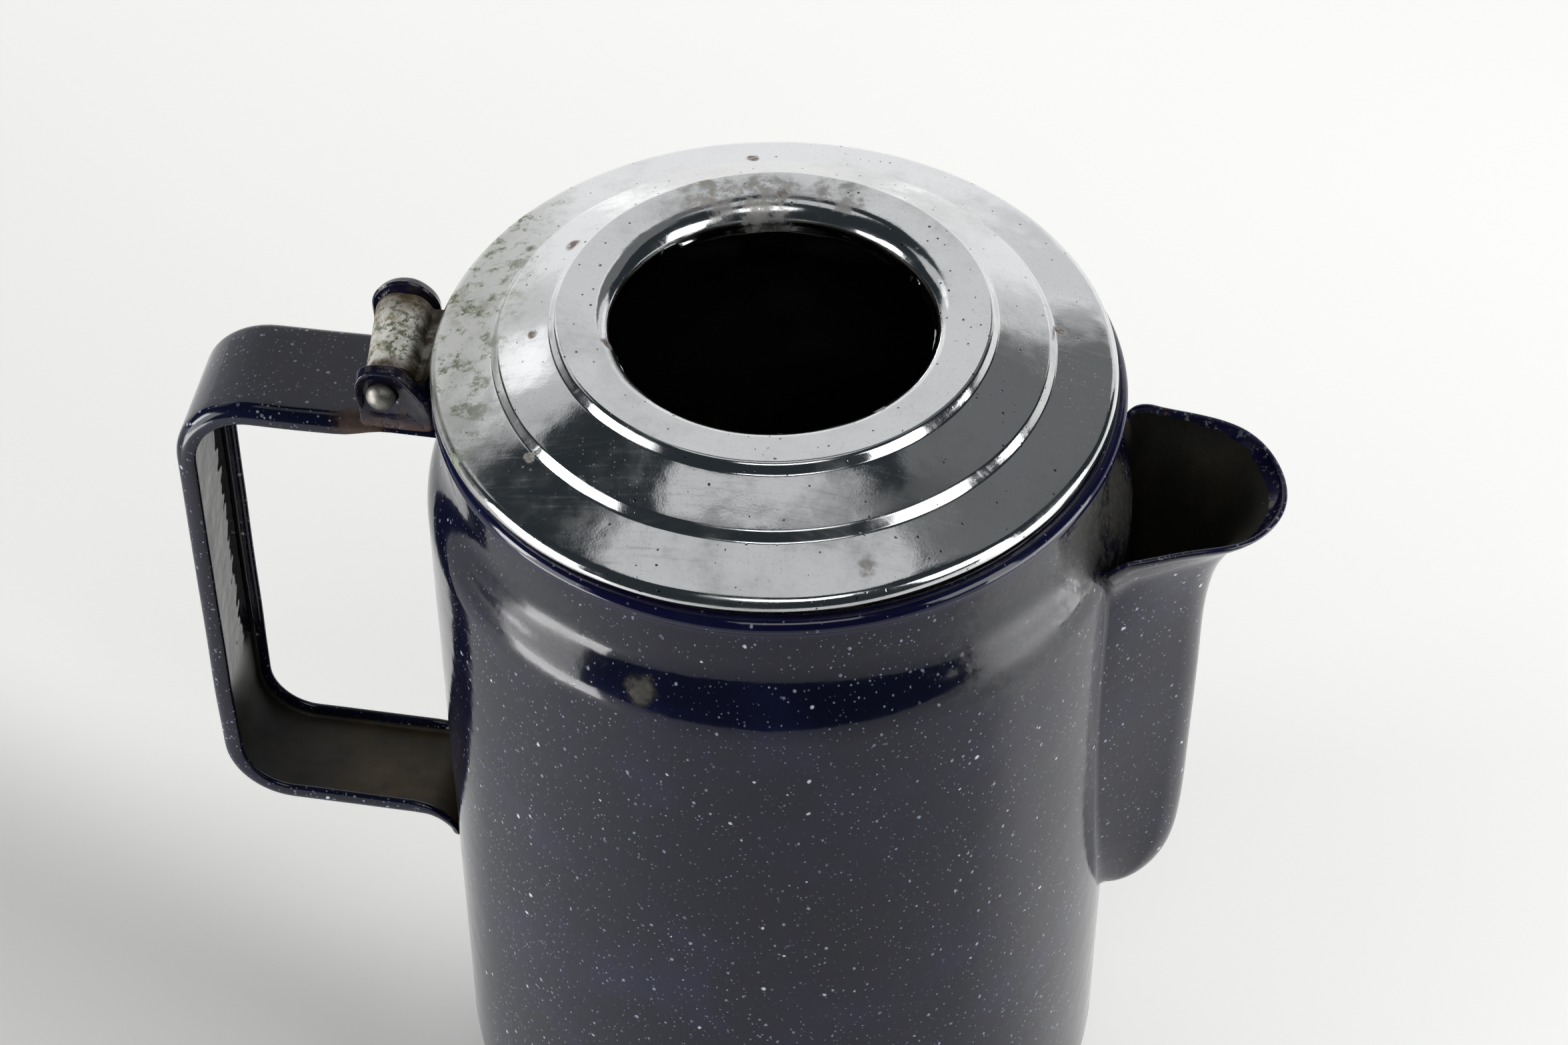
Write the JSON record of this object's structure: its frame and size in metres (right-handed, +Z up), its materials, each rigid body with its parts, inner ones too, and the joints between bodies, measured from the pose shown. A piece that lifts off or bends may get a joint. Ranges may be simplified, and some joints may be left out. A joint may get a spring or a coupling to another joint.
{
  "type": "coffee percolator",
  "caption": "Stove-top coffee percolator: speckled enamel pot with trough spout and strap handle, hinged chromed lid with round knob hole, pump tube, basket and spreader inside.",
  "frame": {"origin": "centre of the underside of the pot, on the surface it stands on", "axes": "+Z up, +X towards the spout, handle at -X, +Y completes a right-handed frame"},
  "size_m": [0.1793, 0.114, 0.1804],
  "materials": {
    "enamel": "glossy dark navy enamel with fine white specks",
    "chrome_lid": "worn bright chrome plate with pitting",
    "tarnished_tin": "tarnished tin plate",
    "steel_pin": "dull steel",
    "aluminium": "satin, stained by coffee"
  },
  "bodies": {
    "pot": {"pot_body": "enamel", "spout": "enamel", "handle_strap": "enamel", "hinge_pin": "steel_pin"},
    "lid": {"lid_shell": "chrome_lid", "lid_collar": "tarnished_tin", "lid_hinge_leaf": "tarnished_tin", "leaf_rivets": "steel_pin"},
    "pump": {"pump_stem": "aluminium", "pump_base": "aluminium", "basket_stop": "aluminium"},
    "washer": {"valve_washer": "aluminium"},
    "basket": {"basket": "aluminium", "basket_sleeve": "aluminium"},
    "cover": {"basket_cover": "aluminium"}
  },
  "joints": [
    {"name": "lid_hinge", "type": "hinge", "parent": "pot", "child": "lid", "pos_m": [-0.0619, 0, 0.1641], "axis": [0, -1, 0], "range_deg": [0, 150]},
    {"name": "pump_lift", "type": "slide", "parent": "pot", "child": "pump", "axis": [0, 0, 1], "range_m": [0, 0.02]},
    {"name": "washer_float", "type": "slide", "parent": "pump", "child": "washer", "axis": [0, 0, 1], "range_m": [0, 0.006]},
    {"name": "basket_lift", "type": "slide", "parent": "pump", "child": "basket", "axis": [0, 0, 1], "range_m": [0, 0.02]},
    {"name": "cover_lift", "type": "slide", "parent": "basket", "child": "cover", "axis": [0, 0, 1], "range_m": [0, 0.012]}
  ]
}
